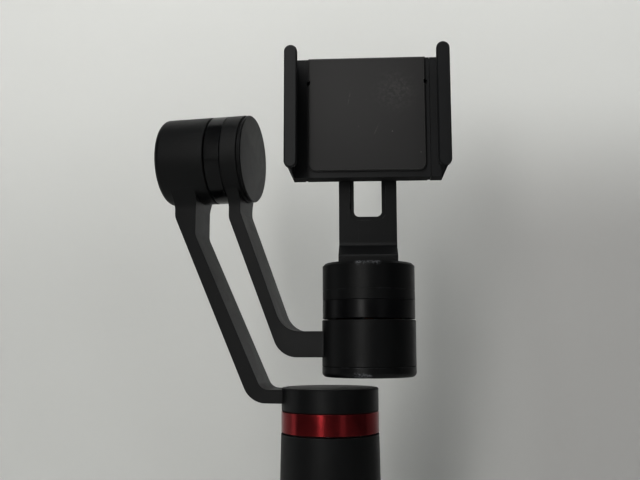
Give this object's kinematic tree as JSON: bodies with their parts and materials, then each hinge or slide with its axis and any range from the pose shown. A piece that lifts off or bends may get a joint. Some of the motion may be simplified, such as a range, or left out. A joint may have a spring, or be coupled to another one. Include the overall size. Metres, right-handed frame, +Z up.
{
  "type": "handheld camera gimbal",
  "caption": "Handheld phone gimbal: round grip with joystick and buttons, leaning motor arms and a sprung phone clamp on a slotted neck.",
  "frame": {"origin": "centre of the tripod socket's mouth in the flat base of the handle", "axes": "+Z up along the handle towards the clamp, -Y towards the user's thumb (the controls), +X to the right seen from the controls; stored pose, clamp upright above the tilt motor"},
  "size_m": [0.1182, 0.0503, 0.3209],
  "materials": {
    "anodised_black": "satin black anodised",
    "lid_black": "matte",
    "cover_black": "satin black anodised, spun",
    "motor_black": "satin black anodised, turned",
    "gloss_ring": "polished black",
    "red_ring": "polished red anodised",
    "clamp_plastic": "fine textured",
    "pad_rubber": "matte",
    "knob_plastic": "textured",
    "panel_plastic": "fine textured",
    "button_plastic": "satin",
    "stick_rubber": "matte",
    "light_lens": "frosted lens",
    "base_plastic": "textured",
    "brass_insert": "turned",
    "steel_screws": "black oxide",
    "bright_steel": "ground",
    "bearing_steel": "polished",
    "spring_steel": "drawn wire",
    "port_steel": "drawn shell",
    "circuit_board": "solder mask",
    "stator_aluminium": "machined",
    "core_steel": "laminated",
    "copper_wire": "enamelled wire",
    "magnet_nickel": "nickel plated",
    "battery_wrap": "heat-shrink wrap",
    "contact_steel": "nickel plated"
  },
  "bodies": {
    "handle": {"handle_tube": "anodised_black", "control_panel": "panel_plastic", "status_light": "light_lens", "joystick_housing": "panel_plastic", "main_board": "circuit_board", "charging_port": "port_steel", "base_cap": "base_plastic", "tripod_insert": "brass_insert", "base_screws": "steel_screws", "battery_cell": "battery_wrap", "battery_holder": "panel_plastic", "battery_contacts": "contact_steel", "pan_stator_base": "stator_aluminium", "pan_stator_core": "core_steel", "pan_windings": "copper_wire", "pan_bearings": "bearing_steel"},
    "joystick_yoke": {"joystick_yoke": "bright_steel"},
    "joystick_cap": {"joystick_cap": "stick_rubber"},
    "mode_button": {"mode_button": "button_plastic"},
    "power_button": {"power_button": "button_plastic"},
    "pan": {"pan_bell": "red_ring", "pan_magnets": "magnet_nickel", "pan_shaft": "bright_steel", "pan_arm": "anodised_black", "pan_arm_lid": "lid_black", "pan_top_cover": "cover_black", "roll_stator_base": "stator_aluminium", "roll_stator_core": "core_steel", "roll_windings": "copper_wire", "roll_bearings": "bearing_steel", "roll_drive_board": "circuit_board"},
    "roll": {"roll_bell": "motor_black", "roll_magnets": "magnet_nickel", "roll_shaft": "bright_steel", "roll_arm": "anodised_black", "roll_arm_lid": "lid_black", "roll_end_cap": "cover_black", "tilt_end_cap": "anodised_black", "tilt_stator_base": "stator_aluminium", "tilt_stator_core": "core_steel", "tilt_windings": "copper_wire", "tilt_bearings": "bearing_steel", "tilt_drive_board": "circuit_board"},
    "tilt": {"tilt_bell": "gloss_ring", "tilt_magnets": "magnet_nickel", "tilt_shaft": "bright_steel", "tilt_cap": "motor_black", "neck_plate": "anodised_black", "neck_screws": "steel_screws"},
    "clamp": {"clamp_body": "clamp_plastic", "clamp_cover": "clamp_plastic", "clamp_pad": "pad_rubber", "fixed_jaw": "clamp_plastic", "fixed_jaw_pad": "pad_rubber", "guide_rods": "bright_steel", "jaw_springs": "spring_steel"},
    "jaw": {"sliding_jaw": "clamp_plastic", "sliding_jaw_pad": "pad_rubber"},
    "lock_knob": {"lock_knob": "knob_plastic"}
  },
  "joints": [
    {"name": "pan", "type": "hinge", "parent": "handle", "child": "pan", "pos_m": [0, 0, 0.17], "axis": [0, 0, 1], "range_deg": [-160, 160]},
    {"name": "roll", "type": "hinge", "parent": "pan", "child": "roll", "pos_m": [0, 0, 0.2789], "axis": [0.9869, -0.1616, 0], "range_deg": [-165, 165]},
    {"name": "tilt", "type": "hinge", "parent": "roll", "child": "tilt", "pos_m": [0.0152, -0.00249, 0.2128], "axis": [0, 0, 1], "range_deg": [-45, 130]},
    {"name": "balance_slide", "type": "slide", "parent": "tilt", "child": "clamp", "axis": [0, 0, 1], "range_m": [-0.024, 0.005]},
    {"name": "jaw_slide", "type": "slide", "parent": "clamp", "child": "jaw", "axis": [1, 0, 0], "range_m": [0, 0.03], "stiffness_N_per_m": 400, "springref_m": -0.01, "deforming": ["jaw_springs"]},
    {"name": "lock_knob_turn", "type": "hinge", "parent": "clamp", "child": "lock_knob", "pos_m": [0.0152, 0.01551, 0.287], "axis": [0, 1, 0], "continuous": true},
    {"name": "joystick_up_down", "type": "hinge", "parent": "handle", "child": "joystick_yoke", "pos_m": [0, -0.0134, 0.128], "axis": [1, 0, 0], "range_deg": [-10, 10], "stiffness_Nm_per_rad": 0.02},
    {"name": "joystick_left_right", "type": "hinge", "parent": "joystick_yoke", "child": "joystick_cap", "pos_m": [0, -0.0134, 0.128], "axis": [0, 0, 1], "range_deg": [-10, 10], "stiffness_Nm_per_rad": 0.02},
    {"name": "mode_press", "type": "slide", "parent": "handle", "child": "mode_button", "axis": [0, 1, 0], "range_m": [0, 0.0005], "stiffness_N_per_m": 800},
    {"name": "power_press", "type": "slide", "parent": "handle", "child": "power_button", "axis": [0, 1, 0], "range_m": [0, 0.0005], "stiffness_N_per_m": 800}
  ]
}
